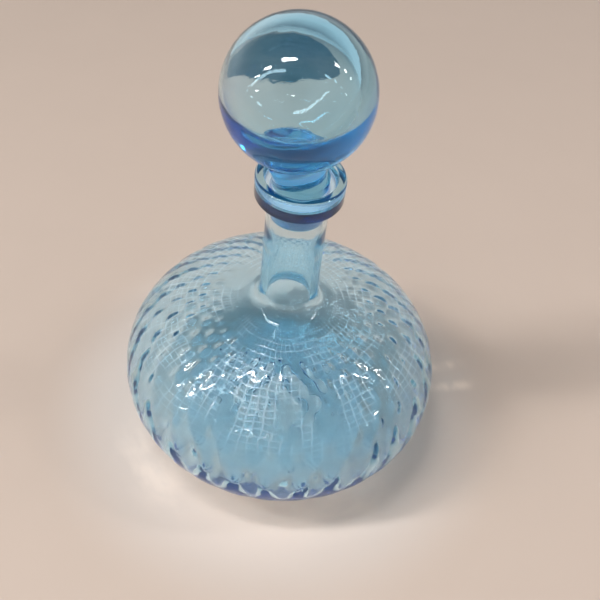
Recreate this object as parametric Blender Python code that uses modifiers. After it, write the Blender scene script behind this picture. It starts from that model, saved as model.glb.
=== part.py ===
"""A decanter of pale blue glass: a squat optic-blown bowl with a long neck, a ring of glass
laid round its mouth, and a hollow ball stopper with a ground plug.

Lengths are in metres and +Z is up. The origin is the middle of the foot, on the table.
"""

import math

import bpy

# Bowl, outside
BOWL_RADIUS = 0.0750        # the widest circle
SHOULDER_RISE = 0.0467      # from the widest circle up to the top of the dome
BELLY_DROP = 0.0421         # from the widest circle down to the bottom of the dome
BOWL_FULLNESS = 2.1         # 2 is a plain ellipse, more is fuller
FOOT_RADIUS = 0.0350        # where the belly is flattened to stand
FOOT_LAND = 0.0110          # width of the flat ring that it stands on
KICK_HEIGHT = 0.0030        # the hollow pushed up inside that ring

# Bowl, inside
BOWL_WALL = 0.0034          # glass at the widest circle
SHOULDER_WALL = 0.0032      # glass on top of the shoulder
BASE_THICKNESS = 0.0070     # glass over the top of the kick
BASE_FULLNESS = 2.6         # the inside is flatter than the outside, so the glass thickens downwards

# Optic relief blown into the inner wall: rows of round hollows, each row half a step round from the last
DIMPLES = 32                # hollows in a row
DIMPLE_DEPTH = 0.0010       # from a ridge to the bottom of a hollow
DIMPLE_TALL = 1.60          # height of a hollow over its width
RELIEF_TOP_RADIUS = 0.0240  # the first row, next to the neck
RELIEF_FOOT_RADIUS = 0.0300 # the last row, over the foot
RELIEF_FADE_ROWS = 3        # rows over which the relief grows at each end

# Neck and mouth
NECK_RADIUS = 0.0131        # outside
NECK_WALL = 0.0030          # glass below the ground seat
SEAT_WALL = 0.0019          # glass round the lower end of the seat
SEAT_RUNOUT = 0.0060        # height over which the bore widens to the seat
NECK_ROOT = 0.0080          # radius of the hollow curve between shoulder and neck
NECK_LENGTH = 0.0719        # from the top of the dome up to the top of the lip

# Ring of glass round the mouth
RING_OVERHANG = 0.00546     # how far it stands out from the neck
RING_HEIGHT = 0.0105
RING_ROUND = 0.0012
RING_LAND = 0.0033          # flat top of the ring, with its rounded edge
CUP_DEPTH = 0.0042          # countersink in the top of the ring

# Stopper
PLUG_DEPTH = 0.0210         # length of the plug below the mouth
PLUG_TAPER = 0.043          # how much the plug's radius grows for each unit of its length
PLUG_ROUND = 0.0012
BALL_RADIUS = 0.0296
BALL_OVER_MOUTH = 0.0082    # from the mouth up to the underside of the ball
BALL_OFFSET = -0.0043       # the ball was set a little to the left of its plug
BALL_WALL = 0.0044          # glass round the sides of the ball
BALL_CROWN = 0.0064         # glass at the top of the ball
BALL_FLOOR = 0.0080         # glass at the bottom of the ball
HOLLOW_FULLNESS = 1.65      # the lower half of the ball's hollow; less than 2 draws it in towards the stem
STEM_ROOT = 0.0030          # radius of the hollow curve between stem and ball
THROAT_RADIUS = 0.0060      # the ball's hollow runs down into the plug through this
PLUG_FLOOR = 0.0060         # glass under the plug's blind hollow
HOLLOW_ROUND = 0.0030       # height of the hollow's round bottom

# Fits
GAP = 0.0003                # between pieces that touch
SEAT_CLEARANCE = 0.0003     # between the ground plug and its seat
MERGE = 0.00001             # points closer than this are one

# Fineness of the meshes
BOWL_STEPS = 2 * DIMPLES
RING_STEPS = BOWL_STEPS
BALL_STEPS = 44
CURVE_SAMPLES = 400
WALL_POINTS = 11
ARC_POINTS = 4
EDGE_POINTS = 3
BALL_POINTS = 13
QUARTER = math.pi / 2

# Heights worked out from the sizes above
EQUATOR = BELLY_DROP * (1 - (FOOT_RADIUS / BOWL_RADIUS) ** BOWL_FULLNESS) ** (1 / BOWL_FULLNESS)
MOUTH_HEIGHT = EQUATOR + SHOULDER_RISE + NECK_LENGTH
NECK_TOP = MOUTH_HEIGHT - CUP_DEPTH
BORE_RADIUS = NECK_RADIUS - NECK_WALL
SEAT_LOW_RADIUS = NECK_RADIUS - SEAT_WALL
KICK_RADIUS = FOOT_RADIUS - FOOT_LAND
RING_RADIUS = NECK_RADIUS + RING_OVERHANG
PLUG_BOTTOM = MOUTH_HEIGHT - PLUG_DEPTH
BALL_CENTRE = MOUTH_HEIGHT + BALL_OVER_MOUTH + BALL_RADIUS
STEM_BOTTOM = MOUTH_HEIGHT + GAP


def seat_radius(height):
    """Radius of the ground seat at a height, opening upwards from the plug's end."""
    return SEAT_LOW_RADIUS + PLUG_TAPER * (height - PLUG_BOTTOM)


def plug_radius(height):
    return seat_radius(height) - SEAT_CLEARANCE


def arc(centre, radii, start, end, points):
    """Points on an ellipse about (r, z) centre, from one angle to another, both ends included."""
    (r, z), (width, height) = centre, radii
    angles = [start + (end - start) * index / points for index in range(points + 1)]
    return [(r + width * math.cos(angle), z + height * math.sin(angle)) for angle in angles]


def dome(radius, height, fullness, start, end, points):
    """Points on a full ellipse about the middle of the bowl; angle 0 is the widest circle."""
    profile = []
    for index in range(points + 1):
        angle = start + (end - start) * index / points
        along = math.cos(angle) ** (2 / fullness)
        up = abs(math.sin(angle)) ** (2 / fullness)
        profile.append((radius * along, EQUATOR + math.copysign(height * up, angle)))
    return profile


def root_of_neck(shoulder, neck_radius, fillet):
    """The shoulder up to where a fillet of that radius touches it, then the fillet up to the neck.

    The fillet's centre lies a fillet's radius outside the neck, and as far above the shoulder.
    """
    for (r, z), (next_r, next_z) in zip(shoulder, shoulder[1:]):
        length = math.hypot(next_r - r, next_z - z)
        across, upward = (next_z - z) / length, (r - next_r) / length
        centre = (neck_radius + fillet, z + fillet * upward)
        if r + fillet * across <= centre[0]:
            break
    touch = math.atan2(-upward, -across)
    kept = [point for point in shoulder if point[0] > r]
    return kept, arc(centre, (fillet, fillet), touch, -math.pi, ARC_POINTS)


def evenly(points, count):
    """Some points of a fine curve, evenly picked from its start to just short of its end."""
    return [points[len(points) * index // count] for index in range(count)]


def relief_rows(curve):
    """How many rows of hollows lie below each point of the inner wall.

    A hollow is as wide as its share of the circle, so the rows close up towards neck and foot.
    """
    rows = [0.0]
    for (r, z), (next_r, next_z) in zip(curve, curve[1:]):
        row_height = DIMPLE_TALL * math.pi * (r + next_r) / 2 / DIMPLES
        rows.append(rows[-1] + math.hypot(next_r - r, next_z - z) / row_height)
    return rows


def optic_wall(curve):
    """The inner wall as (r, z, row, strength), with a ring of points on each row of hollows."""
    patterned = [point for point in curve if point[1] <= EQUATOR and point[0] >= RELIEF_FOOT_RADIUS]
    patterned += [point for point in curve if point[1] > EQUATOR and point[0] >= RELIEF_TOP_RADIUS]
    rows = relief_rows(patterned)
    count = int(rows[-1])
    wall = []
    for row in range(count + 1):
        place = next(index for index, value in enumerate(rows) if value >= row)
        r, z = patterned[place]
        strength = min(1.0, (row + 1) / RELIEF_FADE_ROWS, (count + 1 - row) / RELIEF_FADE_ROWS)
        wall.append((r, z, row, strength))
    return wall


def bottle_profile():
    """Half of the bottle's section: up the inside from the axis, over the lip, down the outside."""
    inner_radius = BOWL_RADIUS - BOWL_WALL
    inner_drop = EQUATOR - KICK_HEIGHT - BASE_THICKNESS
    inner_rise = SHOULDER_RISE - SHOULDER_WALL

    floor = dome(inner_radius, inner_drop, BASE_FULLNESS, -QUARTER, 0, CURVE_SAMPLES)
    ceiling = dome(inner_radius, inner_rise, BOWL_FULLNESS, 0, QUARTER, CURVE_SAMPLES)
    ceiling, inner_root = root_of_neck(ceiling, BORE_RADIUS, NECK_ROOT + NECK_WALL)
    wall = optic_wall(floor + ceiling[1:])

    middle = evenly([point for point in floor if point[0] < wall[0][0]], ARC_POINTS)

    inside = [(r, z, 0, 0) for r, z in middle] + wall
    inside += [(r, z, 0, 0) for r, z in inner_root]
    inside += [(BORE_RADIUS, PLUG_BOTTOM - SEAT_RUNOUT, 0, 0)]
    inside += [(SEAT_LOW_RADIUS, PLUG_BOTTOM, 0, 0), (seat_radius(NECK_TOP), NECK_TOP, 0, 0)]

    shoulder = dome(BOWL_RADIUS, SHOULDER_RISE, BOWL_FULLNESS, 0, QUARTER, CURVE_SAMPLES)
    shoulder, outer_root = root_of_neck(shoulder, NECK_RADIUS, NECK_ROOT)
    foot_angle = -math.asin((EQUATOR / BELLY_DROP) ** (BOWL_FULLNESS / 2))
    belly = dome(BOWL_RADIUS, BELLY_DROP, BOWL_FULLNESS, 0, foot_angle, WALL_POINTS)
    kick = arc((0, 0), (KICK_RADIUS, KICK_HEIGHT), 0, QUARTER, ARC_POINTS)
    outside = [(NECK_RADIUS, NECK_TOP)] + outer_root[::-1] + evenly(shoulder, WALL_POINTS)[::-1]
    outside += belly[1:] + kick[:-1] + [(0, KICK_HEIGHT)]
    return inside + [(r, z, 0, 0) for r, z in outside]


def ring_profile():
    """Section of the ring: inside from the bottom up, over the countersunk top, down the outside."""
    bottom = MOUTH_HEIGHT - RING_HEIGHT
    seat = NECK_TOP + GAP
    hole = seat_radius(seat)
    neck = NECK_RADIUS + GAP
    cup_width = RING_RADIUS - RING_LAND - hole
    cup = arc((hole, MOUTH_HEIGHT), (cup_width, MOUTH_HEIGHT - seat), -QUARTER, 0, ARC_POINTS)
    edge = RING_RADIUS - RING_ROUND
    top_round = arc((edge, MOUTH_HEIGHT - RING_ROUND), (RING_ROUND, RING_ROUND), QUARTER, 0, EDGE_POINTS)
    low_round = arc((edge, bottom + RING_ROUND), (RING_ROUND, RING_ROUND), 0, -QUARTER, EDGE_POINTS)
    return [(neck, bottom), (neck, seat)] + cup + top_round + low_round


def ball_profile():
    """Section of the ball and its stem: down the outside, then up through the throat and the hollow."""
    stem = plug_radius(MOUTH_HEIGHT)
    reach = BALL_RADIUS + STEM_ROOT
    root_centre = (stem + STEM_ROOT, BALL_CENTRE - math.sqrt(reach ** 2 - (stem + STEM_ROOT) ** 2))
    touch = math.asin((BALL_CENTRE - root_centre[1]) / reach)
    outside = arc((0, BALL_CENTRE), (BALL_RADIUS, BALL_RADIUS), QUARTER, -touch, BALL_POINTS)
    outside += arc(root_centre, (STEM_ROOT, STEM_ROOT), math.pi - touch, math.pi, ARC_POINTS)[1:]
    outside[0] = (0, outside[0][1])
    hollow = BALL_RADIUS - BALL_WALL
    depth = BALL_RADIUS - BALL_FLOOR
    height = BALL_RADIUS - BALL_CROWN
    half = BALL_POINTS // 2
    mouth = math.acos((THROAT_RADIUS / hollow) ** (HOLLOW_FULLNESS / 2))
    inside = []
    for index in range(half + 1):
        angle = mouth * (1 - index / half)
        across = math.cos(angle) ** (2 / HOLLOW_FULLNESS)
        down = math.sin(angle) ** (2 / HOLLOW_FULLNESS)
        inside.append((hollow * across, BALL_CENTRE - depth * down))
    inside += arc((0, BALL_CENTRE), (hollow, height), 0, QUARTER, half)[1:-1]
    inside.append((0, BALL_CENTRE + height))
    return outside + [(stem, STEM_BOTTOM), (THROAT_RADIUS, STEM_BOTTOM)] + inside


def plug_profile():
    """Section of the plug: down the ground side, under the end, and up the blind hollow."""
    end = plug_radius(PLUG_BOTTOM) - PLUG_ROUND
    side = [(THROAT_RADIUS, MOUTH_HEIGHT), (plug_radius(MOUTH_HEIGHT), MOUTH_HEIGHT)]
    side += arc((end, PLUG_BOTTOM + PLUG_ROUND), (PLUG_ROUND, PLUG_ROUND), 0, -QUARTER, EDGE_POINTS)
    deepest = PLUG_BOTTOM + PLUG_FLOOR
    hollow = arc((0, deepest + HOLLOW_ROUND), (THROAT_RADIUS, HOLLOW_ROUND), -QUARTER, 0, ARC_POINTS)
    return [(0, deepest)] + hollow[1:] + side + [(0, PLUG_BOTTOM)]


def turned(name, profile, steps, closed=False):
    """A turned solid: the section (r, z) swept round the Z axis."""
    mesh = bpy.data.meshes.new(name)
    points = [(point[0], 0, point[1]) for point in profile]
    edges = [(index, index + 1) for index in range(len(points) - 1)]
    if closed:
        edges.append((len(points) - 1, 0))
    mesh.from_pydata(points, edges, [])
    mesh.attributes.new("row", "FLOAT", "POINT")
    mesh.attributes.new("strength", "FLOAT", "POINT")
    for index, point in enumerate(profile):
        if len(point) > 2:
            mesh.attributes["row"].data[index].value = point[2]
            mesh.attributes["strength"].data[index].value = point[3]
    piece = bpy.data.objects.new(name, mesh)
    screw = piece.modifiers.new("Turn", "SCREW")
    screw.axis = "Z"
    screw.steps = steps
    screw.render_steps = steps
    screw.use_merge_vertices = True
    screw.merge_threshold = MERGE
    screw.use_smooth_shade = True
    return piece


def as_mesh(piece):
    """Replaces a piece's mesh by what its modifiers make of it."""
    graph = bpy.context.evaluated_depsgraph_get()
    mesh = bpy.data.meshes.new_from_object(piece.evaluated_get(graph), depsgraph=graph)
    mesh.name = piece.name
    piece.modifiers.clear()
    piece.data = mesh
    return mesh


def press_optic(mesh):
    """Moves the points of the inner wall out into the hollows and in onto the ridges between them."""
    rows = mesh.attributes["row"].data
    strengths = mesh.attributes["strength"].data
    normals = [vertex.normal.copy() for vertex in mesh.vertices]
    for vertex, normal in zip(mesh.vertices, normals):
        strength = strengths[vertex.index].value
        if strength > 0:
            around = math.atan2(vertex.co.y, vertex.co.x)
            wave = math.cos(DIMPLES * around) * math.cos(math.pi * rows[vertex.index].value)
            vertex.co -= normal * (DIMPLE_DEPTH / 2 * strength * wave)


def set_ball_aside(mesh):
    """Leans the stem so that the ball stands beside the plug's axis, and stays round."""
    ball_bottom = MOUTH_HEIGHT + BALL_OVER_MOUTH
    for vertex in mesh.vertices:
        share = min(1.0, (vertex.co.z - STEM_BOTTOM) / (ball_bottom - STEM_BOTTOM))
        vertex.co.x += BALL_OFFSET * share


def glass(name, colour, roughness):
    material = bpy.data.materials.new(name)
    material.use_nodes = True
    shader = material.node_tree.nodes["Principled BSDF"]
    shader.inputs["Base Color"].default_value = (*colour, 1.0)
    shader.inputs["Roughness"].default_value = roughness
    shader.inputs["Metallic"].default_value = 0.0
    shader.inputs["Transmission Weight"].default_value = 1.0
    material.diffuse_color = (*colour, 1.0)
    return material


def clear_scene():
    for thing in list(bpy.data.objects):
        bpy.data.objects.remove(thing, do_unlink=True)


def build():
    clear_scene()
    decanter = bpy.data.collections.new("decanter")
    bpy.context.scene.collection.children.link(decanter)

    bottle = turned("bottle", bottle_profile(), BOWL_STEPS)
    ring = turned("lip_ring", ring_profile(), RING_STEPS, closed=True)
    ball = turned("stopper_ball", ball_profile(), BALL_STEPS)
    plug = turned("stopper_plug", plug_profile(), RING_STEPS)
    for piece in (bottle, ring, ball, plug):
        decanter.objects.link(piece)

    press_optic(as_mesh(bottle))
    set_ball_aside(as_mesh(ball))

    bottle.data.materials.append(glass("Bottle glass", (0.42, 0.66, 0.76), 0.05))
    ring.data.materials.append(glass("Lip glass", (0.24, 0.50, 0.66), 0.05))
    ball.data.materials.append(glass("Ball glass", (0.36, 0.62, 0.76), 0.03))
    plug.data.materials.append(glass("Ground glass", (0.30, 0.48, 0.66), 0.45))

    stopper = bpy.data.objects.new("stopper_axis", None)
    stopper.location = (0, 0, MOUTH_HEIGHT)
    decanter.objects.link(stopper)
    for piece in (ball, plug):
        piece.parent = stopper
        piece.data.transform(stopper.matrix_basis.inverted())


build()
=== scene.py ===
"""A pale blue glass decanter: an optic-blown bowl with a long neck and a lip ring, and its hollow ball stopper.

Each body of glass is one turned mesh, because the real pieces were joined while hot and show no seam. Lengths are
in metres in the frame's own axes, with +Z up and the origin in the middle of the foot, on the table.
"""

import math

import bpy
from mathutils import Matrix, Vector, noise


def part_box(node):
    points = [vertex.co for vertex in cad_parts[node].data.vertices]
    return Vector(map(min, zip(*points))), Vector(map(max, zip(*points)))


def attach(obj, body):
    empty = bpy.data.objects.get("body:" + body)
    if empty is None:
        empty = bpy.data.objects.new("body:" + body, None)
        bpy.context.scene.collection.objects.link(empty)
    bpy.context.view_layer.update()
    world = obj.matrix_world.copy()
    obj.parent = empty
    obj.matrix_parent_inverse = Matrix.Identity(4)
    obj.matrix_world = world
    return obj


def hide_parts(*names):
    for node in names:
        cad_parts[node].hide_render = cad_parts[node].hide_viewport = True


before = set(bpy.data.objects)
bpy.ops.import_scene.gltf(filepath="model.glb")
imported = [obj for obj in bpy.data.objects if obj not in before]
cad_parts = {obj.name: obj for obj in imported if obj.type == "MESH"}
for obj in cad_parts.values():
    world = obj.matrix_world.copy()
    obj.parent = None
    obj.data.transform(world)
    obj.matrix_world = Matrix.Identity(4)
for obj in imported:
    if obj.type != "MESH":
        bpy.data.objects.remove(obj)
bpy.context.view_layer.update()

bl_info = {
    "name": "Blue Glass Decanter",
    "version": (1, 0, 0),
    "blender": (4, 5, 0),
    "location": "3D Viewport > Sidebar > Decanter",
    "description": "Builds a blown glass decanter and its ball stopper around their packed frame",
    "category": "Add Mesh",
}

BOTTLE_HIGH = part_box("bottle")[1]
RING_LOW, RING_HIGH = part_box("lip_ring")
BALL_LOW, BALL_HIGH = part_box("stopper_ball")
PLUG_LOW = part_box("stopper_plug")[0]

QUARTER = math.pi / 2

# Modelling steps
MERGE = 0.000004                # points closer than this are one
SAME_PLACE = 0.00002            # a vertex this close to a point of the section was spun from it
CURVE_SAMPLES = 600             # points of a curve before it is thinned
FLOOR_STEP, INSIDE_STEP, OUTSIDE_STEP = 0.0040, 0.0013, 0.0018      # between points along the section
POINTS_PER_HOLLOW = 11          # round the bottle
BALL_STEPS, BALL_HOLLOW_STEPS = 160, 128        # round the stopper
SHARP = 50                      # degrees; edges that turn more stay sharp

# Shape of the relief
HOLLOW_DRAWN_IN = 2.2           # more makes the hollows smaller and the bumps between them broader
SWAY_ACROSS, SWAY_UP, SWAY_DEPTH = 0.22, 0.40, 0.70     # how uneven: in hollows, in rows and as a share of the depth
UNEVEN_SEED = 7                 # settles where they are uneven; 0 would scatter that anew at each run
OUTSIDE_FROM = 0.985            # of the outside's superellipse; points past it are on the outer wall

# Shape of the seat
NARROW_FROM = 0.0300            # the neck is at its narrowest from here below the seat
RUN_OUT_STEPS = 8
SEAT_CREASE = 0.0001            # keeps the ends of the ground seat crisp

# Zones of the glass
GROUND_PAST_CUP = 0.0030        # from the bottom of the cup down to where the ground glass shows
GROUND_INTO_PLUG = 0.0020       # how far in from the seat's bore the plug's ground zone starts
PAINTED_BAND_LOW, PAINTED_BAND_HIGH = -0.0005, 0.0057       # painted dark band on the ring's side, tinted navy, from the bottom of the ring
PAINTED_BAND_OUT = 0.0005
PAINTED_BAND_RAGGED = 0.0001


def length(name, description, default):
    return bpy.props.FloatProperty(
        name=name, description=description, default=default, min=0.0, max=0.5,
        precision=5, unit="LENGTH", subtype="DISTANCE")


def share(name, description, default):
    return bpy.props.FloatProperty(
        name=name, description=description, default=default, min=0.0, max=1.0, subtype="FACTOR")


def number(name, description, default, low=0.0, high=1000.0):
    return bpy.props.FloatProperty(name=name, description=description, default=default, min=low, max=high)


def colour(name, description, default):
    return bpy.props.FloatVectorProperty(
        name=name, description=description, default=default, size=3, min=0.0, max=1.0, subtype="COLOR")


class BowlSizes(bpy.types.PropertyGroup):
    """The blown bowl, and the optic relief on its inner wall."""
    radius: length("Radius", "Widest circle of the bowl, outside", BOTTLE_HIGH.x)
    rise: length("Shoulder rise", "From the widest circle up to the top of the dome", 0.0467)
    drop: length("Belly drop", "From the widest circle down to the bottom of the dome", 0.0421)
    fullness: number("Fullness", "2 is a plain ellipse and more is fuller", 2.1, 1.5, 4.0)
    foot: length("Foot radius", "Where the belly is flattened to stand", 0.0350)
    land: length("Foot land", "Width of the flat ring that it stands on", 0.0110)
    kick: length("Kick", "Height of the hollow pushed up inside the foot", 0.0030)
    wall: length("Wall", "Glass at the widest circle", 0.0034)
    crown: length("Shoulder wall", "Glass on top of the shoulder", 0.0032)
    base: length("Base", "Glass over the top of the kick", 0.0070)
    base_fullness: number("Base fullness", "How flat the inside of the base is", 2.6, 1.5, 4.0)
    hollows: bpy.props.IntProperty(
        name="Hollows", description="Hollows in one row of the optic relief", default=32, min=6, max=60)
    hollow_depth: length("Hollow depth", "From the top of a bump to the bottom of a hollow, inside", 0.0010)
    ripple_depth: length("Ripple depth", "What shows of the same relief on the outside", 0.00034)
    unevenness: length("Unevenness", "How far apart the hollows differ in place and depth", 0.0170)
    row_share: share("Row height", "From one row to the next, as a share of the radius there", 0.157)
    relief_top: length("Relief top", "Radius where the relief ends, next to the neck", 0.0240)
    relief_foot: length("Relief foot", "Radius where the relief ends, over the foot", 0.0180)
    relief_fade: length("Relief fade", "How far from its end the relief reaches its full depth", 0.0200)
    belly_calm: share("Calmer belly", "How much shallower the hollows are low on the belly", 0.45)


class MouthSizes(bpy.types.PropertyGroup):
    """The neck, the ground seat in it and the ring of glass round the mouth."""
    mouth: length("Mouth", "Height of the top of the lip", RING_HIGH.z)
    neck: length("Neck radius", "Outside of the neck", 0.0131)
    neck_wall: length("Neck wall", "Glass of the neck, next to the end of the ground seat", 0.0019)
    thicker: length("Thicker neck", "How much more glass the neck has below its seat", 0.0013)
    root: length("Neck root", "Radius of the hollow curve between shoulder and neck", 0.0080)
    ring: length("Ring radius", "Outside of the lip ring", RING_HIGH.x)
    ring_height: length("Ring height", "Height of the lip ring", RING_HIGH.z - RING_LOW.z)
    ring_round: length("Ring round", "Rounding of the ring's edges", 0.0012)
    ring_land: length("Ring land", "Flat top of the ring, with its rounded edge", 0.0033)
    cup: length("Cup depth", "Countersink in the top of the ring", 0.0042)
    run_out: length("Run-out", "Length over which the neck thickens below its seat", 0.0180)
    seat: length("Seat depth", "From the mouth down to the end of the ground seat", RING_HIGH.z - PLUG_LOW.z)
    taper: share("Taper", "Growth of the seat's radius with height", 0.043)


class StopperSizes(bpy.types.PropertyGroup):
    """The hollow ball, its stem and the ground plug."""
    ball: length("Ball radius", "Outside of the ball", (BALL_HIGH.x - BALL_LOW.x) / 2)
    top: length("Top", "Height of the top of the ball", BALL_HIGH.z)
    aside: length("Set aside", "How far the ball stands left of the plug's axis", -(BALL_HIGH.x + BALL_LOW.x) / 2)
    wall: length("Ball wall", "Glass round the sides of the ball", 0.0044)
    crown: length("Ball crown", "Glass at the top of the ball", 0.0064)
    floor: length("Ball floor", "Glass at the bottom of the ball", 0.0080)
    hollow_fullness: number(
        "Hollow fullness", "How full the lower half of the hollow is; 2 is an ellipse", 1.65, 1.1, 4.0)
    hollow_aside: length("Hollow set aside", "How far the hollow stands left of the middle of the ball", 0.0020)
    stem_root: length("Stem root", "Radius of the hollow curve between stem and ball", 0.0030)
    clearance: length("Clearance", "Between the ground plug and its seat", 0.0003)
    plug_end: length("Plug end", "Height of the plug's end", PLUG_LOW.z)
    plug_round: length("Plug round", "Rounding of the plug's lower edge", 0.0012)


class GlassLook(bpy.types.PropertyGroup):
    """Colour and surface of the glass."""
    tint: colour("Tint", "Colour that light keeps as it passes through the glass", (0.02, 0.68, 0.90))
    density: number("Density", "How strongly the tint grows with thickness, for each metre", 53.0)
    ground: share("Ground roughness", "Roughness of the ground joint", 0.36)
    polish: share("Polish", "Roughness of the fire-polished glass", 0.004)
    waves: length("Waves", "Height of the waves of the blown surface", 0.00013)
    # Painted light: the ground zone is given a faint whitish emission, over and above its roughness.
    painted_frost_glow: colour("Frost", "Light caught in the ground glass", (0.16, 0.19, 0.24))
    # Painted light: every wall of the glass gives off a faint blue emission.
    painted_wall_glow: colour("Glow", "Light scattered at every wall of the glass", (0.002, 0.008, 0.012))
    # Painted light: the fine grooves of the shoulder give off a faint pale emission.
    painted_groove_glow: colour("Mould lines", "Light caught in the fine grooves of the shoulder", (0.20, 0.23, 0.25))
    # Painted shade: the lower part of the ring's side is tinted dark navy.
    edge: colour(
        "Ring edge", "Colour that light keeps where it enters low in the ring's side", (0.0005, 0.003, 0.030))


class StageLook(bpy.types.PropertyGroup):
    """The table and the light round it."""
    floor: colour("Table", "Colour of the table", (0.565, 0.455, 0.38))
    # Painted light: the table is paler under and beside the bowl.
    painted_gathered_light: colour("Under the bowl", "Colour of the table where the bowl gathers light", (0.95, 0.93, 0.92))
    painted_light_beside_bowl: share("Near the bowl", "How far the table next to the bowl is brightened by it", 0.25)
    # Painted light: the table gives off a warm emission under the front of the bowl.
    painted_pooled_light: colour("Pooled light", "Light that gathers under the front of the bowl", (0.28, 0.18, 0.12))
    # Painted light: the table gives off streaks of warm emission beside the bowl.
    painted_thrown_light: colour("Thrown light", "Light that the bowl throws beside itself in streaks", (0.24, 0.20, 0.16))
    world: number("Sky", "Strength of the light from all round", 1.0)
    lamps: number("Lamps", "Radiance of the lamps", 45.0)


class DecanterSettings(bpy.types.PropertyGroup):
    """All sizes and colours of the decanter."""
    bowl: bpy.props.PointerProperty(type=BowlSizes)
    mouth: bpy.props.PointerProperty(type=MouthSizes)
    stopper: bpy.props.PointerProperty(type=StopperSizes)
    glass: bpy.props.PointerProperty(type=GlassLook)
    stage: bpy.props.PointerProperty(type=StageLook)


# Sections of the glass, as (r, z) points

def arc(centre, radii, start, end, points):
    """Points on an ellipse about (r, z) centre, from one angle to another, both ends included."""
    (r, z), (width, height) = centre, radii
    angles = [start + (end - start) * index / points for index in range(points + 1)]
    return [(r + width * math.cos(angle), z + height * math.sin(angle)) for angle in angles]


def equator(bowl):
    """Height of the widest circle over the table."""
    cut = (bowl.foot / bowl.radius) ** bowl.fullness
    return bowl.drop * (1 - cut) ** (1 / bowl.fullness)


def dome(bowl, radius, height, fullness, start, end, points):
    """Points on a full ellipse about the middle of the bowl; angle 0 is the widest circle."""
    middle = equator(bowl)
    profile = []
    for index in range(points + 1):
        angle = start + (end - start) * index / points
        up = abs(math.sin(angle)) ** (2 / fullness)
        profile.append((radius * math.cos(angle) ** (2 / fullness), middle + math.copysign(height * up, angle)))
    return profile


def root_of_neck(shoulder, neck_radius, fillet, points):
    """The shoulder up to where a fillet of that radius touches it, and the fillet up to the neck."""
    for (r, z), (next_r, next_z) in zip(shoulder, shoulder[1:]):
        step = math.hypot(next_r - r, next_z - z)
        across, upward = (next_z - z) / step, (r - next_r) / step
        centre = (neck_radius + fillet, z + fillet * upward)
        if r + fillet * across <= centre[0]:
            break
    touch = math.atan2(-upward, -across)
    return [point for point in shoulder if point[0] > r], arc(centre, (fillet, fillet), touch, -math.pi, points)


def by_length(points, step):
    """Points of a fine curve about a step apart, from its start to just short of its end."""
    if not points:
        return []
    picked, run = [points[0]], 0.0
    for (r, z), (next_r, next_z) in zip(points, points[1:]):
        run += math.hypot(next_r - r, next_z - z)
        if run >= step:
            picked.append((next_r, next_z))
            run = 0.0
    end = points[-1]
    if math.hypot(picked[-1][0] - end[0], picked[-1][1] - end[1]) < step / 2:
        picked.pop()
    return picked


def with_rows(points, curve, bowl):
    """Points as (r, z, row, strength): rows are counted from the widest circle and stand closer where it narrows."""
    middle = equator(bowl)
    start = min(range(len(curve)), key=lambda index: abs(curve[index][1] - middle))
    rows = [0.0]
    for (r, z), (next_r, next_z) in zip(curve, curve[1:]):
        rows.append(rows[-1] + math.hypot(next_r - r, next_z - z) / (bowl.row_share * max(r, bowl.relief_top)))
    placed = []
    for r, z in points:
        closest = min(range(len(curve)), key=lambda index: math.hypot(curve[index][0] - r, curve[index][1] - z))
        end = bowl.relief_top if z > middle else bowl.relief_foot
        risen = min(1.0, max(0.0, (r - end) / bowl.relief_fade))
        part = 1.0 if z > middle else 1.0 - bowl.belly_calm * min(1.0, (middle - z) / (middle / 2))
        placed.append((r, z, rows[closest] - rows[start], part * risen * risen * (3 - 2 * risen)))
    return placed


def seat_radius(mouth, height):
    """Radius of the ground seat at a height: the bore, opening upwards from the plug's end."""
    bore = mouth.neck - mouth.neck_wall
    return bore + mouth.taper * (height - (mouth.mouth - mouth.seat))


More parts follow.
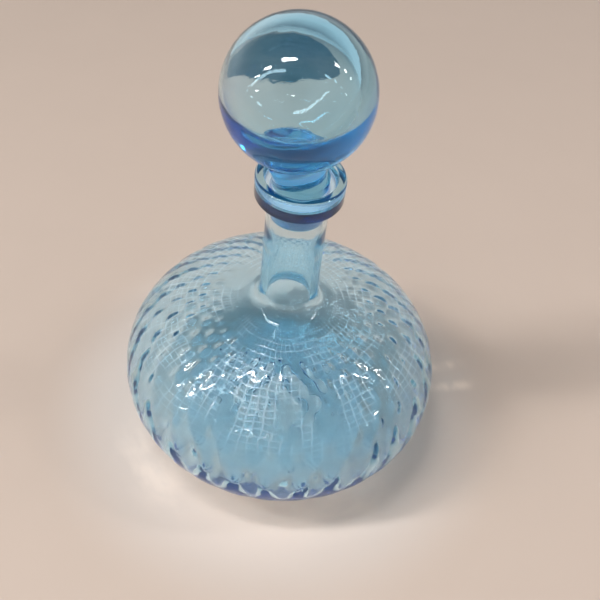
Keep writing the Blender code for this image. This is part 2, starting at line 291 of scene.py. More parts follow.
def bottle_section(bowl, mouth):
    """Half of the bottle's section as (r, z, row, strength): up the inside, over the ring, down the outside."""
    middle = equator(bowl)
    wall, crown = bowl.wall + bowl.hollow_depth / 2, bowl.crown + bowl.hollow_depth / 2
    inner_radius = bowl.radius - wall
    floor = dome(bowl, inner_radius, middle - bowl.kick - bowl.base, bowl.base_fullness, -QUARTER, 0, CURVE_SAMPLES)
    ceiling = dome(bowl, inner_radius, bowl.rise - crown, bowl.fullness, 0, QUARTER, CURVE_SAMPLES)
    bore = mouth.neck - mouth.neck_wall
    narrow = bore - mouth.thicker
    ceiling, inner_root = root_of_neck(ceiling, narrow, mouth.root + mouth.neck_wall + mouth.thicker, 9)
    inner = floor + ceiling[1:]
    plain = [point for point in floor if point[0] < bowl.relief_foot]
    patterned = by_length(inner[len(plain):], INSIDE_STEP)
    inside = [(r, z, 0, 0) for r, z in by_length(plain, FLOOR_STEP)] + with_rows(patterned, inner, bowl)
    inside += [(r, z, 0, 0) for r, z in inner_root]

    top_of_seat = mouth.mouth - mouth.cup
    seat_low = mouth.mouth - mouth.seat
    rim = mouth.ring - mouth.ring_land
    seat_top = seat_radius(mouth, top_of_seat)
    bottom = mouth.mouth - mouth.ring_height
    edge = mouth.ring_round
    crease = mouth.ring_round / 2
    over = [(narrow, seat_low - NARROW_FROM), (narrow, seat_low - mouth.run_out)]
    for step in range(1, RUN_OUT_STEPS):
        part = step / RUN_OUT_STEPS
        thicker = mouth.thicker * (1 + math.cos(math.pi * part)) / 2
        over.append((bore - thicker, seat_low - mouth.run_out * (1 - part)))
    over += [(bore, seat_low), (seat_radius(mouth, seat_low + SEAT_CREASE), seat_low + SEAT_CREASE)]
    over += [(seat_radius(mouth, top_of_seat - SEAT_CREASE), top_of_seat - SEAT_CREASE)]
    over += arc((seat_top, mouth.mouth), (rim - seat_top, mouth.cup), -QUARTER, 0, 8)
    over += arc((mouth.ring - edge, mouth.mouth - edge), (edge, edge), QUARTER, 0, 6)
    over += arc((mouth.ring - edge, bottom + edge), (edge, edge), 0, -QUARTER, 6)
    over += arc((mouth.neck + crease, bottom - crease), (crease, crease), QUARTER, math.pi, 4)

    shoulder = dome(bowl, bowl.radius, bowl.rise, bowl.fullness, 0, QUARTER, CURVE_SAMPLES)
    shoulder, outer_root = root_of_neck(shoulder, mouth.neck, mouth.root, 9)
    foot_angle = -math.asin((middle / bowl.drop) ** (bowl.fullness / 2))
    belly = dome(bowl, bowl.radius, bowl.drop, bowl.fullness, 0, foot_angle, CURVE_SAMPLES)
    outer = belly[::-1] + shoulder[1:]
    inner_foot = bowl.foot - bowl.land
    outside = [(r, z, 0, 0) for r, z in over + outer_root[::-1]]
    outside += with_rows(by_length(outer, OUTSIDE_STEP)[::-1], outer, bowl)
    foot = [(bowl.foot - bowl.land / 2, 0)]
    foot += arc((0, 0), (inner_foot, bowl.kick), 0, QUARTER, 8)[:-1] + [(0, bowl.kick)]
    return inside + outside + [(r, z, 0, 0) for r, z in foot]


def stopper_outside(stopper, mouth):
    """Half of the stopper's section: the ball, the stem, the ground side and the plug's end."""
    centre = stopper.top - stopper.ball
    stem = seat_radius(mouth, mouth.mouth) - stopper.clearance
    reach = stopper.ball + stopper.stem_root
    root = (stem + stopper.stem_root, centre - math.sqrt(reach ** 2 - (stem + stopper.stem_root) ** 2))
    touch = math.asin((centre - root[1]) / reach)
    line = arc((0, centre), (stopper.ball, stopper.ball), QUARTER, -touch, 44)
    line[0] = (0, line[0][1])
    line += arc(root, (stopper.stem_root, stopper.stem_root), math.pi - touch, math.pi, 8)[1:]
    end = seat_radius(mouth, stopper.plug_end) - stopper.clearance - stopper.plug_round
    rounding = (stopper.plug_round, stopper.plug_round)
    line += [(stem, mouth.mouth)]
    line += arc((end, stopper.plug_end + stopper.plug_round), rounding, 0, -QUARTER, 6)
    return line + [(end / 2, stopper.plug_end), (0, stopper.plug_end)]


def stopper_hollow(stopper):
    """Half of the hollow's section: round above, and drawn in towards the stem below."""
    centre = stopper.top - stopper.ball
    radius, depth = stopper.ball - stopper.wall, stopper.ball - stopper.floor
    line = arc((0, centre), (radius, stopper.ball - stopper.crown), QUARTER, 0, 22)
    for index in range(1, 29):
        angle = QUARTER * index / 28
        across = max(0.0, math.cos(angle)) ** (2 / stopper.hollow_fullness)
        line.append((radius * across, centre - depth * math.sin(angle) ** (2 / stopper.hollow_fullness)))
    line[0], line[-1] = (0, line[0][1]), (0, line[-1][1])
    return line


# Modelling, as by hand

def draw_line(name, points):
    """A line drawn from one point by extruding it to the next, in the plane through the Z axis."""
    bpy.ops.object.select_all(action="DESELECT")
    bpy.ops.mesh.primitive_plane_add(size=0.01, location=(0, 0, 0))
    piece = bpy.context.object
    piece.name = piece.data.name = name
    bpy.ops.object.mode_set(mode="EDIT")
    bpy.ops.mesh.select_all(action="SELECT")
    bpy.ops.mesh.merge(type="CENTER")
    places = [Vector((point[0], 0, point[1])) for point in points]
    bpy.ops.transform.translate(value=places[0])
    for place, next_place in zip(places, places[1:]):
        bpy.ops.mesh.extrude_region_move(TRANSFORM_OT_translate={"value": next_place - place})
    bpy.ops.object.mode_set(mode="OBJECT")
    return piece


def spin_round(steps, inwards=False):
    """Spins the line just drawn round the Z axis into a closed skin whose faces look out of the glass."""
    bpy.ops.object.mode_set(mode="EDIT")
    bpy.ops.mesh.select_all(action="SELECT")
    bpy.ops.mesh.spin(steps=steps, angle=2 * math.pi, center=(0, 0, 0), axis=(0, 0, 1))
    bpy.ops.mesh.select_all(action="SELECT")
    bpy.ops.mesh.remove_doubles(threshold=MERGE)
    bpy.ops.mesh.normals_make_consistent(inside=inwards)
    bpy.ops.object.mode_set(mode="OBJECT")


def finish_mesh(piece):
    """Shades a piece smooth, but for its sharp edges."""
    bpy.ops.object.select_all(action="DESELECT")
    piece.select_set(True)
    bpy.context.view_layer.objects.active = piece
    bpy.ops.object.shade_smooth_by_angle(angle=math.radians(SHARP))


def hollow(across, row):
    """How deep the relief is, from 0 between hollows to 1 in the middle of one; rows are staggered."""
    wave = 0.5 + 0.5 * math.cos(2 * math.pi * across) * math.cos(math.pi * row)
    return wave ** HOLLOW_DRAWN_IN


def press_optic(piece, section, bowl):
    """Presses the hollows into both walls, by a weight for each point and a Displace modifier."""
    noise.seed_set(UNEVEN_SEED)
    middle = equator(bowl)
    marks = {}
    for r, z, row, strength in section:
        if strength > 0:
            marks.setdefault(round(z, 5), []).append((r, z, row, strength))
    group = piece.vertex_groups.new(name="hollows")
    for vertex in piece.data.vertices:
        x, y, z = vertex.co
        radius = math.hypot(x, y)
        for mark in marks.get(round(z, 5), ()):
            if abs(mark[0] - radius) < SAME_PLACE:
                outer = (radius / bowl.radius) ** bowl.fullness
                height = bowl.rise if z > middle else bowl.drop
                outer += (abs(z - middle) / height) ** bowl.fullness
                depth = bowl.ripple_depth / bowl.hollow_depth if outer > OUTSIDE_FROM else 1.0
                across = bowl.hollows * math.atan2(y, x) / (2 * math.pi)
                sway, rise, size = noise.noise_vector(vertex.co / bowl.unevenness)
                pressed = hollow(across + SWAY_ACROSS * sway, mark[2] + SWAY_UP * rise) * (1 + SWAY_DEPTH * size)
                group.add([vertex.index], min(1.0, pressed * mark[3] * depth), "REPLACE")
                break
    press = piece.modifiers.new("Optic", "DISPLACE")
    press.vertex_group = "hollows"
    press.direction = "NORMAL"
    press.mid_level = 0.0
    press.strength = -bowl.hollow_depth
    bpy.context.view_layer.objects.active = piece
    bpy.ops.object.modifier_apply(modifier="Optic")
    piece.vertex_groups.clear()


def set_aside(piece, stopper, mouth):
    """Leans the stem so that the ball stands beside the plug's axis, and stays round."""
    ball_bottom = stopper.top - 2 * stopper.ball
    for vertex in piece.data.vertices:
        leaning = (vertex.co.z - mouth.mouth) / (ball_bottom - mouth.mouth)
        vertex.co.x -= stopper.aside * min(1.0, max(0.0, leaning))


# Nodes

def fill_inputs(tree, node, inputs):
    """Links each input for which a socket is given, and sets each for which a value is."""
    for label, value in inputs.items():
        if isinstance(value, bpy.types.NodeSocket):
            tree.links.new(value, node.inputs[label])
        else:
            node.inputs[label].default_value = value


def put_node(tree, kind, place, inputs=None, **settings):
    node = tree.nodes.new("ShaderNode" + kind)
    node.location = place
    for name, value in settings.items():
        setattr(node, name, value)
    fill_inputs(tree, node, inputs or {})
    return node


def maths(tree, place, operation, *values):
    """What a Math node makes of values or sockets."""
    return put_node(tree, "Math", place, dict(enumerate(values)), operation=operation).outputs[0]


def vectors(tree, place, operation, *values, gives="Vector"):
    """What a Vector Math node makes of values or sockets."""
    return put_node(tree, "VectorMath", place, dict(enumerate(values)), operation=operation).outputs[gives]


def smooth(tree, place, value, start, end, top=1.0):
    """0 at one value and top at the other, with a soft change between them."""
    return put_node(
        tree, "MapRange", place, {"Value": value, "From Min": start, "From Max": end, "To Max": top},
        interpolation_type="SMOOTHSTEP").outputs["Result"]


def blend(tree, place, factor, first, second):
    """The first colour turning into the second by a factor."""
    return put_node(
        tree, "Mix", place, {"Factor": factor, "A": first, "B": second}, data_type="RGBA").outputs["Result"]


def noise_at(tree, place, where, scale, detail):
    return put_node(tree, "TexNoise", place, {"Vector": where, "Scale": scale, "Detail": detail}).outputs


def on_piece(tree, place):
    return put_node(tree, "TexCoord", place).outputs["Object"]


def split(tree, place, vector):
    return put_node(tree, "SeparateXYZ", place, {"Vector": vector}).outputs


def opaque(shade):
    return (*shade, 1.0)


def new_group(name, inputs, outputs):
    """A shader node group with float inputs and one or more float outputs; gives its input sockets and its end."""
    group = bpy.data.node_groups.new(name, "ShaderNodeTree")
    for label, default in inputs:
        socket = group.interface.new_socket(label, in_out="INPUT", socket_type="NodeSocketFloat")
        socket.default_value = default
    for label in outputs:
        group.interface.new_socket(label, in_out="OUTPUT", socket_type="NodeSocketFloat")
    given = group.nodes.new("NodeGroupInput")
    result = group.nodes.new("NodeGroupOutput")
    given.location, result.location = (-1500, 0), (900, 0)
    return group, given.outputs, result


# Materials of the glass

CHIPS, GRAINS = 900.0, 5000.0           # noise scales at the edge of the ground glass, and in it
WAVE_SIZE, WAVE_DETAIL = 0.012, 1.5     # metres from wave to wave of the blown surface
DRAWN = (1, 1, 4)                       # the fine streaks of the blown surface run round the piece
DRAWN_SCALE, DRAWN_HEIGHT = 300.0, 0.10
GRAIN_HEIGHT, GROOVE_DEPTH = 0.00004, 0.00006
GROOVE_ROUGHNESS = 0.20

# The fine net of the mould
NET_SWAY, NET_SWAY_SCALE = 0.005, 60.0
GROOVE_WIDTH = 0.13                     # half of it, as a share of the way from one groove to the next
NET_TILT = (0.25, 0.75)                 # radians over the widest circle: none below the first, all above the second
NET_OUT = (0.22, 0.36)                  # the same, outwards from the neck as a share of the bowl's radius
NET_SKIN = (0.950, 0.965)               # the same, of the superellipse: keeps the net off the inner wall
NET_WORN = (0.33, 0.52)                 # the same, of the noise that wears the net away in places


def ground_zone_group():
    """Where glass is ground: 1 between two heights and two radii, with a chipped, grainy edge."""
    group, given, result = new_group(
        "Ground zone", [("Low", 0.0), ("High", 0.1), ("Inner", 0.0), ("Outer", 0.1), ("Ragged", 0.0004)],
        ["Mask", "Grain"])
    place = on_piece(group, (-1300, 300))
    chips = noise_at(group, (-700, 400), place, CHIPS, 3.0)["Fac"]
    shift = maths(group, (-340, 400), "MULTIPLY", maths(group, (-500, 400), "SUBTRACT", chips, 0.5), given["Ragged"])
    height = split(group, (-700, 150), place)["Z"]
    flat = vectors(group, (-700, -50), "MULTIPLY", place, (1, 1, 0))
    radius = vectors(group, (-520, -50), "LENGTH", flat, gives="Value")

    def inside(value, low, high, y):
        moved = maths(group, (-180, y), "ADD", value, shift)
        above = maths(group, (0, y), "GREATER_THAN", moved, given[low])
        below = maths(group, (0, y - 160), "LESS_THAN", moved, given[high])
        return maths(group, (180, y), "MULTIPLY", above, below)

    mask = maths(
        group, (400, 0), "MULTIPLY", inside(height, "Low", "High", 200), inside(radius, "Inner", "Outer", -200))
    grains = noise_at(group, (180, -600), place, GRAINS, 4.0)["Fac"]
    fill_inputs(group, result, {"Mask": mask, "Grain": maths(group, (400, -600), "MULTIPLY", grains, mask)})
    return group


def blown_surface_group():
    """The faint waves and drawn streaks of blown glass, as a height in shares."""
    group, given, result = new_group("Blown surface", [("Size", 0.010)], ["Height"])
    place = on_piece(group, (-1300, 300))
    scale = maths(group, (-700, 0), "DIVIDE", 1.0, given["Size"])
    waves = noise_at(group, (-450, 100), place, scale, WAVE_DETAIL)["Fac"]
    drawn = vectors(group, (-700, -250), "MULTIPLY", place, DRAWN)
    streaks = noise_at(group, (-450, -250), drawn, DRAWN_SCALE, 2.0)["Fac"]
    fill_inputs(group, result, {"Height": maths(group, (50, 0), "MULTIPLY_ADD", streaks, DRAWN_HEIGHT, waves)})
    return group


def fine_net_group():
    """Thin grooves along and round the shoulder, left by the mould: 1 in a groove."""
    group, given, result = new_group(
        "Fine net",
        [("Middle", 0.04), ("Height", 0.05), ("Radius", 0.075), ("Fullness", 2.1), ("Along", 92.0), ("Round", 31.0)],
        ["Lines"])
    place = on_piece(group, (-1500, 400))

    # The grooves sway a little, as if drawn by hand
    drift = noise_at(group, (-1300, 500), place, NET_SWAY_SCALE, 1.0)
    sway = vectors(group, (-1100, 500), "SUBTRACT", drift["Color"], (0.5, 0.5, 0.5))
    swayed = split(group, (-700, 400), vectors(group, (-900, 450), "MULTIPLY_ADD", sway, (NET_SWAY,) * 3, place))
    turn = maths(group, (-500, 400), "ARCTAN2", swayed["Y"], swayed["X"])
    turns = maths(group, (-300, 400), "DIVIDE", turn, 2 * math.pi)
    along = maths(group, (-100, 400), "MULTIPLY", turns, given["Along"])
    squares = [maths(group, (-500, y), "POWER", swayed[axis], 2.0) for axis, y in (("X", 200), ("Y", 50))]
    radius = maths(group, (-300, 150), "POWER", maths(group, (-400, 150), "ADD", *squares), 0.5)
    lift = maths(group, (-500, -150), "SUBTRACT", swayed["Z"], given["Middle"])
    up = maths(group, (-300, -150), "DIVIDE", lift, given["Height"])
    out = maths(group, (-300, 0), "DIVIDE", radius, given["Radius"])
    tilt = maths(group, (-100, -50), "ARCTAN2", up, out)
    rounds = maths(group, (100, -50), "MULTIPLY", maths(group, (0, -50), "DIVIDE", tilt, QUARTER), given["Round"])

    def between_grooves(value, y):
        return smooth(group, (380, y), maths(group, (200, y), "PINGPONG", value, 0.5), 0.0, GROOVE_WIDTH)

    net = maths(group, (560, 100), "MULTIPLY", between_grooves(along, 300), between_grooves(rounds, -50))

    # Where the net is: on the shoulder, outside, and not worn away
    shoulder = maths(
        group, (500, -350), "MULTIPLY", smooth(group, (300, -350), tilt, *NET_TILT),
        smooth(group, (300, -550), out, *NET_OUT))
    flat = vectors(group, (-700, -900), "MULTIPLY", place, (1, 1, 0))
    still_out = maths(
        group, (-300, -900), "DIVIDE", vectors(group, (-500, -900), "LENGTH", flat, gives="Value"), given["Radius"])
    still_lift = maths(group, (-500, -1050), "SUBTRACT", split(group, (-700, -1050), place)["Z"], given["Middle"])
    still_up = maths(group, (-300, -1050), "DIVIDE", still_lift, given["Height"])
    outward = maths(group, (0, -900), "POWER", still_out, given["Fullness"])
    upward = maths(group, (0, -1050), "POWER", still_up, given["Fullness"])
    skin = smooth(group, (300, -900), maths(group, (100, -900), "ADD", outward, upward), *NET_SKIN)
    whole = smooth(group, (300, -750), drift["Fac"], *NET_WORN)
    lines = maths(group, (640, 100), "MULTIPLY", maths(group, (600, 100), "SUBTRACT", 1.0, net), whole)
    where = maths(group, (560, -600), "MULTIPLY", shoulder, skin)
    fill_inputs(group, result, {"Lines": maths(group, (720, 0), "MULTIPLY", lines, where)})
    return group


def bump(tree, place, height, distance, under=None, inward=False):
    """The normal of a height, laid over another normal if there is one."""
    inputs = {"Height": height, "Distance": distance}
    if under is not None:
        inputs["Normal"] = under
    return put_node(tree, "Bump", place, inputs, invert=inward).outputs["Normal"]


def glass_material(name, look, groups, colour_hint, ground, net=None, band=None):
    """Blue glass whose tint grows with its thickness: fire-polished, with a ground zone, a net, a painted dark band
    and a faint painted emission.
    """
    material = bpy.data.materials.new(name)
    material.use_nodes = True
    material.diffuse_color = opaque(colour_hint)
    tree = material.node_tree
    zone = put_node(tree, "Group", (-700, 0), ground, node_tree=groups["ground"]).outputs
    rough = put_node(tree, "MapRange", (-400, 100), {
        "Value": zone["Mask"], "To Min": look.polish, "To Max": look.ground}).outputs["Result"]
    blown = put_node(tree, "Group", (-700, -300), {"Size": WAVE_SIZE}, node_tree=groups["blown"]).outputs["Height"]
    surface = bump(tree, (-400, -300), blown, look.waves)
    # Painted light: the glass gives off a faint blue emission everywhere, a whitish one in the ground zone and a pale
    # one along the net's grooves.
    caught = blend(tree, (-200, 400), zone["Mask"], opaque(look.painted_wall_glow), opaque(look.painted_frost_glow))
    if net:
        lines = put_node(tree, "Group", (-700, -600), net, node_tree=groups["net"]).outputs["Lines"]
        surface = bump(tree, (-300, -600), lines, GROOVE_DEPTH, surface, inward=True)
        rough = maths(tree, (-200, 100), "MULTIPLY_ADD", lines, GROOVE_ROUGHNESS, rough)
        # Painted light: a pale emission along the grooves of the net.
        caught = blend(tree, (0, 400), lines, caught, opaque(look.painted_groove_glow))
    surface = bump(tree, (-200, -300), zone["Grain"], GRAIN_HEIGHT, surface)
    clear = opaque((1, 1, 1))
    if band:
        # Painted shade: the low part of the ring's side is tinted dark navy through the base colour.
        low = put_node(tree, "Group", (-700, 700), band, node_tree=groups["ground"]).outputs["Mask"]
        clear = blend(tree, (-400, 700), low, clear, opaque(look.edge))
    fill_inputs(tree, tree.nodes["Principled BSDF"], {
        "Base Color": clear, "Roughness": rough, "IOR": 1.5, "Transmission Weight": 1.0,
        "Emission Color": caught, "Emission Strength": 1.0, "Normal": surface,
    })
    tint = put_node(tree, "VolumeAbsorption", (0, -500), {"Color": opaque(look.tint), "Density": look.density})
    tree.links.new(tint.outputs[0], tree.nodes["Material Output"].inputs["Volume"])
    return material


def shared_groups():
    """The groups that both glasses use, built once."""
    kinds = (
        ("ground", "Ground zone", ground_zone_group), ("blown", "Blown surface", blown_surface_group),
        ("net", "Fine net", fine_net_group))
    return {key: bpy.data.node_groups.get(name) or build() for key, name, build in kinds}


class DECANTER_OT_bottle(bpy.types.Operator):
    """Build the blown bottle with its optic relief, neck and lip ring"""
    bl_idname = "decanter.bottle"
    bl_label = "Bottle"
    bl_options = {"REGISTER", "UNDO"}

    def execute(self, context):
        settings = context.scene.decanter
        bowl, mouth = settings.bowl, settings.mouth
        section = bottle_section(bowl, mouth)
        bottle = draw_line("decanter_bottle", section)
        spin_round(bowl.hollows * POINTS_PER_HOLLOW)
        press_optic(bottle, section, bowl)
        finish_mesh(bottle)
        seat = {
            "Low": mouth.mouth - mouth.cup - GROUND_PAST_CUP, "High": mouth.mouth - mouth.cup / 2,
            "Inner": 0.0, "Outer": mouth.neck + mouth.ring_round,
        }
        net = {"Middle": equator(bowl), "Height": bowl.rise, "Radius": bowl.radius, "Fullness": bowl.fullness}
        ring_bottom = mouth.mouth - mouth.ring_height
        # Painted shade: where the ring's side is tinted dark navy.
        band = {
            "Low": ring_bottom + PAINTED_BAND_LOW, "High": ring_bottom + PAINTED_BAND_HIGH, "Ragged": PAINTED_BAND_RAGGED,
            "Inner": mouth.ring - mouth.ring_round, "Outer": mouth.ring + PAINTED_BAND_OUT,
        }
        bottle.data.materials.clear()
        bottle.data.materials.append(glass_material(
            "Blown blue glass", settings.glass, shared_groups(), (0.42, 0.66, 0.76), seat, net, band))
        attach(bottle, "bottle")
        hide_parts("bottle", "lip_ring")
        return {"FINISHED"}


class DECANTER_OT_stopper(bpy.types.Operator):
    """Build the hollow ball stopper with its stem and ground plug"""
    bl_idname = "decanter.stopper"
    bl_label = "Stopper"
    bl_options = {"REGISTER", "UNDO"}

    def execute(self, context):
        settings = context.scene.decanter
        stopper, mouth = settings.stopper, settings.mouth
        outside = draw_line("ball_stopper", stopper_outside(stopper, mouth))
        spin_round(BALL_STEPS)
        hollow = draw_line("stopper_hollow", stopper_hollow(stopper))
        spin_round(BALL_HOLLOW_STEPS, inwards=True)
        bpy.ops.object.mode_set(mode="EDIT")
        bpy.ops.mesh.select_all(action="SELECT")
        bpy.ops.transform.translate(value=(-stopper.hollow_aside, 0, 0))
        bpy.ops.object.mode_set(mode="OBJECT")
        bpy.ops.object.select_all(action="DESELECT")
        hollow.select_set(True)
        outside.select_set(True)
        context.view_layer.objects.active = outside
        bpy.ops.object.join()
        set_aside(outside, stopper, mouth)
        finish_mesh(outside)
        plug = {
            "Low": mouth.mouth - mouth.cup - GROUND_PAST_CUP, "High": mouth.mouth - mouth.cup,
            "Inner": mouth.neck - mouth.neck_wall - GROUND_INTO_PLUG, "Outer": mouth.neck,
        }
        outside.data.materials.clear()
        outside.data.materials.append(
            glass_material("Stopper glass", settings.glass, shared_groups(), (0.36, 0.62, 0.76), plug))
        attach(outside, "stopper")
        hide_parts("stopper_ball", "stopper_plug")
        return {"FINISHED"}


# Stage

TABLE_DROP = -0.00015       # the foot touches the table at a few points only
CAMERA_PLACE = (0.0, -0.2772, 0.3885)
CAMERA_PITCH, CAMERA_YAW, CAMERA_ROLL = 47.85, 1.21, 7.37     # degrees
CAMERA_LENS = 54.0

# A dark shape on the table, beyond the picture, which the ball shows upside down: painted shade, since only rays
# through the glass see it
DARK_NEAR, DARK_LONG, DARK_WIDE = 0.26, 1.60, 0.46
DARK_ASIDE, DARK_HEIGHT = -0.02, 0.0008

# Ceiling tubes: name, where along X and Y, length along X, width
LAMP_HEIGHT = 1.40
LAMPS = (
    ("key tube", (-1.25, -0.38), 0.46, 0.10),
    ("far left tube", (-2.40, -0.62), 1.00, 0.08),
    ("overhead tube", (-0.36, -0.20), 0.42, 0.10),
    ("right tube", (1.20, 0.08), 0.30, 0.09),
    ("further right tube", (1.80, 0.16), 0.26, 0.08),
    ("far right tube", (2.86, 0.24), 0.40, 0.08),
    ("near tube", (-0.60, -2.00), 0.80, 0.06),
    ("near left tube", (-4.20, -2.20), 1.00, 0.10),
    ("near right tube", (4.00, -1.10), 1.00, 0.10),
)
# A soft panel that mirrors don't show, in line with the neck so that the neck's shadow stays narrow
PANEL_PLACE = (-1.35, -0.41)
PANEL_LONG, PANEL_WIDE, PANEL_SHARE = 1.60, 0.13, 0.60

# The room's own light: height as a share and colour, low and high on the far side, then the near side
ROOM_LOW, ROOM_HIGH = (0.12, (0.72, 0.70, 0.68, 1.0)), (0.52, (0.11, 0.115, 0.13, 1.0))
ROOM_NEAR, ROOM_NEAR_FROM = (0.46, 0.46, 0.47, 1.0), (0.35, -0.15)
# A dim part of the room high on the near side: its direction, its colour and how it fades in
DIM_SIDE = (0.0, -0.2772, 0.3885)
DIM_COLOUR, DIM_EDGE = (0.06, 0.06, 0.07, 1.0), (0.86, 0.95)

# Painted streaks of light: middle and half spread round the bowl in radians, middle and half width outwards, strength
LIGHT_STREAKS = (
    (-2.42, 0.55, 0.072, 0.020, 0.75),
    (-1.75, 0.70, 0.060, 0.014, 0.45),
    (0.25, 0.05, 0.098, 0.020, 0.75),
    (0.39, 0.05, 0.096, 0.018, 0.75),
    (-0.95, 0.60, 0.070, 0.016, 0.30),
)
STREAK_STRETCH = 22.0                       # how much finer the streaks are outwards than round the bowl
STREAK_EDGE = (0.30, 0.70)

# The table: from and to which radius each patch of painted light fades in, and how painted light on the table, with
# the mottle, grows towards the right and the near side
UNDER_BOWL, BESIDE_BOWL, POOL = (0.068, 0.040), (0.125, 0.075), (0.080, 0.012)
POOL_PLACE = (-0.004, -0.022, 0)
PAINTED_LIGHT_ACROSS, TONE_AND_LIGHT_SPAN, TONE_AND_LIGHT_LEVELS = (0.55, -0.15, 0), 0.15, (0.945, 1.175)
MOTTLE, MOTTLE_SCALE = 0.05, 25.0


def place_camera():
    pitch, yaw, roll = (math.radians(angle) for angle in (CAMERA_PITCH, CAMERA_YAW, CAMERA_ROLL))
    forward = Vector((math.sin(yaw) * math.cos(pitch), math.cos(yaw) * math.cos(pitch), -math.sin(pitch)))
    level = Vector((math.cos(yaw), -math.sin(yaw), 0))
    upward = level.cross(forward)
    right = level * math.cos(roll) + upward * math.sin(roll)
    up = upward * math.cos(roll) - level * math.sin(roll)
    camera = bpy.data.objects.new("Camera", bpy.data.cameras.new("Camera"))
    camera.data.lens = CAMERA_LENS
    camera.data.clip_start = 0.01
    camera.matrix_world = Matrix((right, up, -forward)).transposed().to_4x4()
    camera.location = CAMERA_PLACE
    bpy.context.scene.collection.objects.link(camera)
    bpy.context.scene.camera = camera


def place_lamp(name, place, long, wide, radiance):
    lamp = bpy.data.lights.new(name, "AREA")
    lamp.shape = "RECTANGLE"
    lamp.size, lamp.size_y = long, wide
    lamp.energy = radiance * math.pi * long * wide
    holder = bpy.data.objects.new(name, lamp)
    holder.location = (*place, LAMP_HEIGHT)
    bpy.context.scene.collection.objects.link(holder)
    return holder


def place_lamps(look):
    for name, place, long, wide in LAMPS:
        place_lamp(name, place, long, wide, look.lamps)
    panel = place_lamp("soft panel", PANEL_PLACE, PANEL_LONG, PANEL_WIDE, look.lamps * PANEL_SHARE)
    panel.rotation_euler.z = math.atan2(PANEL_PLACE[1], PANEL_PLACE[0])
    panel.visible_glossy = False


def light_room(look):
    """The light from all round: a far side that is pale low down, a plain near side and a dim part in it."""
    world = bpy.data.worlds.new("Studio")
    world.use_nodes = True
    tree = world.node_tree
    around = put_node(tree, "TexCoord", (-800, 0)).outputs["Generated"]
    parts = split(tree, (-600, 0), around)
    far = put_node(tree, "ValToRGB", (-400, 0), {"Fac": parts["Z"]})
    for element, (height, shade) in zip(far.color_ramp.elements, (ROOM_LOW, ROOM_HIGH)):
        element.position, element.color = height, shade
    near = smooth(tree, (-400, 300), parts["Y"], *ROOM_NEAR_FROM)
    room = blend(tree, (-100, 100), near, far.outputs["Color"], ROOM_NEAR)
    toward = vectors(tree, (-400, 500), "DOT_PRODUCT", around, Vector(DIM_SIDE).normalized(), gives="Value")
    room = blend(tree, (50, 200), smooth(tree, (-200, 500), toward, *DIM_EDGE), room, DIM_COLOUR)
    fill_inputs(tree, tree.nodes["Background"], {"Color": room, "Strength": look.world})
    bpy.context.scene.world = world


def light_streaks_group():
    """The painted streaks of light that stand for what the bowl throws on the table, left in front of it and to its
    right.
    """
    group, given, result = new_group("Light streaks", [("Fine", 5.0)], ["Light"])
    place = on_piece(group, (-1500, 300))
    parts = split(group, (-1300, 300), place)
    reach = vectors(group, (-1300, 0), "LENGTH", place, gives="Value")
    turn = maths(group, (-1100, 300), "ARCTAN2", parts["Y"], parts["X"])
    far = maths(group, (-1100, 0), "MULTIPLY", reach, STREAK_STRETCH)
    stretched = put_node(group, "CombineXYZ", (-900, 100), {"X": turn, "Y": far}).outputs[0]
    streaks = noise_at(group, (-700, 100), stretched, given["Fine"], 2.0)["Fac"]

    def hill(value, middle, width, y):
        away = maths(group, (-150, y), "ABSOLUTE", maths(group, (-300, y), "SUBTRACT", value, middle))
        return smooth(group, (0, y), away, width, 0.0)

    total = 0.0
    for index, (middle, spread, out, width, strength) in enumerate(LIGHT_STREAKS):
        y = 800 - 350 * index
        spot = maths(
            group, (250, y), "MULTIPLY", hill(turn, middle, spread, y), hill(reach, out, width, y - 150))
        total = maths(group, (400, y), "MULTIPLY_ADD", spot, strength, total)
    bright = smooth(group, (-500, 100), streaks, *STREAK_EDGE)
    fill_inputs(group, result, {"Light": maths(group, (650, 0), "MULTIPLY", total, bright)})
    return group


def plain_material(name, shade):
    material = bpy.data.materials.new(name)
    material.use_nodes = True
    material.diffuse_color = opaque(shade)
    fill_inputs(material.node_tree, material.node_tree.nodes["Principled BSDF"], {
        "Base Color": opaque(shade), "Roughness": 0.55, "Specular IOR Level": 0.2})
    return material


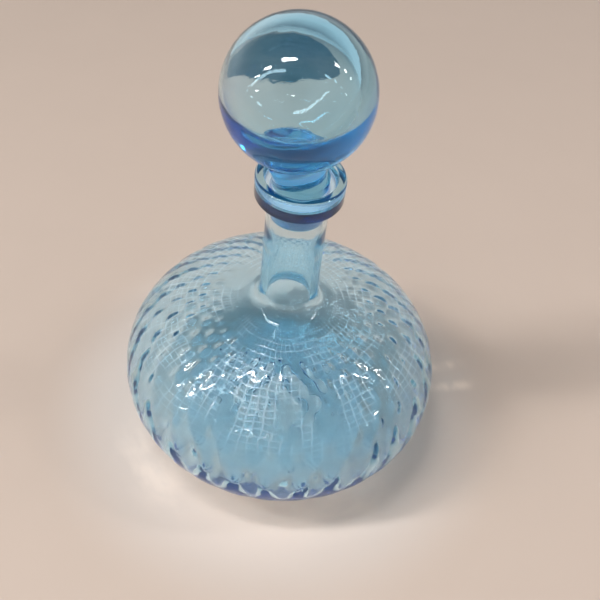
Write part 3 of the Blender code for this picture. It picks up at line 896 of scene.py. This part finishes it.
def table_material(look):
    """A pale table, mottled, with painted light that grows towards the right and the near side, and painted light
    where the bowl gathers and throws light on it.
    """
    material = plain_material("Table", look.floor)
    tree = material.node_tree
    place = on_piece(tree, (-1100, 0))
    out = vectors(tree, (-900, 0), "LENGTH", place, gives="Value")
    # Painted light: the table is paler under and beside the bowl, standing in for the light that the glass gathers
    # there.
    under = smooth(tree, (-700, 0), out, *UNDER_BOWL)
    beside = smooth(tree, (-700, -300), out, *BESIDE_BOWL, top=look.painted_light_beside_bowl)
    # Painted light: the table grows paler towards the right and the near side, mixed with its random mottle.
    across = vectors(tree, (-900, -500), "DOT_PRODUCT", place, PAINTED_LIGHT_ACROSS, gives="Value")
    mottle = noise_at(tree, (-900, -700), place, MOTTLE_SCALE, 6.0)["Fac"]
    shade = put_node(tree, "MapRange", (-550, -500), {
        "Value": maths(tree, (-700, -600), "MULTIPLY_ADD", mottle, MOTTLE, across),
        "From Min": -TONE_AND_LIGHT_SPAN, "From Max": TONE_AND_LIGHT_SPAN, "To Min": TONE_AND_LIGHT_LEVELS[0], "To Max": TONE_AND_LIGHT_LEVELS[1],
    }).outputs["Result"]
    plain = put_node(
        tree, "VectorMath", (-400, -300), {0: look.floor, "Scale": shade}, operation="SCALE").outputs["Vector"]
    painted_gathered_light = maths(tree, (-550, -100), "MAXIMUM", under, beside)
    painted_streak_mask = put_node(tree, "Group", (-400, 400), node_tree=light_streaks_group()).outputs["Light"]
    painted_thrown_light = blend(tree, (-200, 400), painted_streak_mask, (0, 0, 0, 1), opaque(look.painted_thrown_light))
    # Painted light: the table gives off a warm emission in a pool under the front of the bowl and in the streaks
    # beside it.
    front = vectors(tree, (-900, 700), "DISTANCE", place, POOL_PLACE, gives="Value")
    fill_inputs(tree, tree.nodes["Principled BSDF"], {
        "Base Color": blend(tree, (-200, 0), painted_gathered_light, plain, opaque(look.painted_gathered_light)),
        "Emission Color": blend(tree, (0, 400), smooth(tree, (-700, 700), front, *POOL), painted_thrown_light, opaque(look.painted_pooled_light)),
        "Emission Strength": 1.0,
    })
    return material


class DECANTER_OT_stage(bpy.types.Operator):
    """Set the table, the soft lamps and the camera"""
    bl_idname = "decanter.stage"
    bl_label = "Stage"
    bl_options = {"REGISTER", "UNDO"}

    def execute(self, context):
        look = context.scene.decanter.stage
        bpy.ops.object.select_all(action="DESELECT")
        bpy.ops.mesh.primitive_plane_add(size=6, location=(0, 0, TABLE_DROP))
        table = context.object
        table.name = table.data.name = "table"
        table.data.materials.append(table_material(look))
        bpy.ops.mesh.primitive_circle_add(
            vertices=48, radius=DARK_LONG / 2, fill_type="NGON",
            location=(DARK_ASIDE, DARK_NEAR + DARK_LONG / 2, DARK_HEIGHT))
        dark = context.object
        dark.name = dark.data.name = "dark thing that the ball shows"
        bpy.ops.object.mode_set(mode="EDIT")
        bpy.ops.mesh.select_all(action="SELECT")
        bpy.ops.transform.resize(value=(DARK_WIDE / DARK_LONG, 1, 1))
        bpy.ops.object.mode_set(mode="OBJECT")
        # Painted shade: only rays through the glass see this dark shape, which stands in for the dim room.
        dark.data.materials.append(plain_material("Dark room", (0.06, 0.10, 0.12)))
        dark.visible_camera = dark.visible_diffuse = dark.visible_shadow = dark.visible_glossy = False
        place_lamps(look)
        light_room(look)
        place_camera()
        scene = context.scene
        scene.view_settings.view_transform = "Standard"
        scene.cycles.max_bounces = 24
        scene.cycles.transmission_bounces = 24
        scene.cycles.glossy_bounces = 12
        return {"FINISHED"}


class DECANTER_PT_panel(bpy.types.Panel):
    """Builds the decanter and its stage"""
    bl_idname = "DECANTER_PT_panel"
    bl_label = "Blue Glass Decanter"
    bl_space_type = "VIEW_3D"
    bl_region_type = "UI"
    bl_category = "Decanter"

    def draw(self, context):
        settings = context.scene.decanter
        for operator, groups in (
                ("bottle", ("bowl", "mouth", "glass")), ("stopper", ("stopper",)), ("stage", ("stage",))):
            self.layout.operator(f"decanter.{operator}")
            box = self.layout.box()
            for group in groups:
                for name in getattr(settings, group).__annotations__:
                    box.prop(getattr(settings, group), name)


CLASSES = (
    BowlSizes, MouthSizes, StopperSizes, GlassLook, StageLook, DecanterSettings,
    DECANTER_OT_bottle, DECANTER_OT_stopper, DECANTER_OT_stage, DECANTER_PT_panel,
)


def register():
    for kind in CLASSES:
        bpy.utils.register_class(kind)
    bpy.types.Scene.decanter = bpy.props.PointerProperty(type=DecanterSettings)


def unregister():
    del bpy.types.Scene.decanter
    for kind in reversed(CLASSES):
        bpy.utils.unregister_class(kind)


def main():
    register()
    bpy.ops.decanter.bottle()
    bpy.ops.decanter.stopper()
    bpy.ops.decanter.stage()


if __name__ == "__main__":
    main()
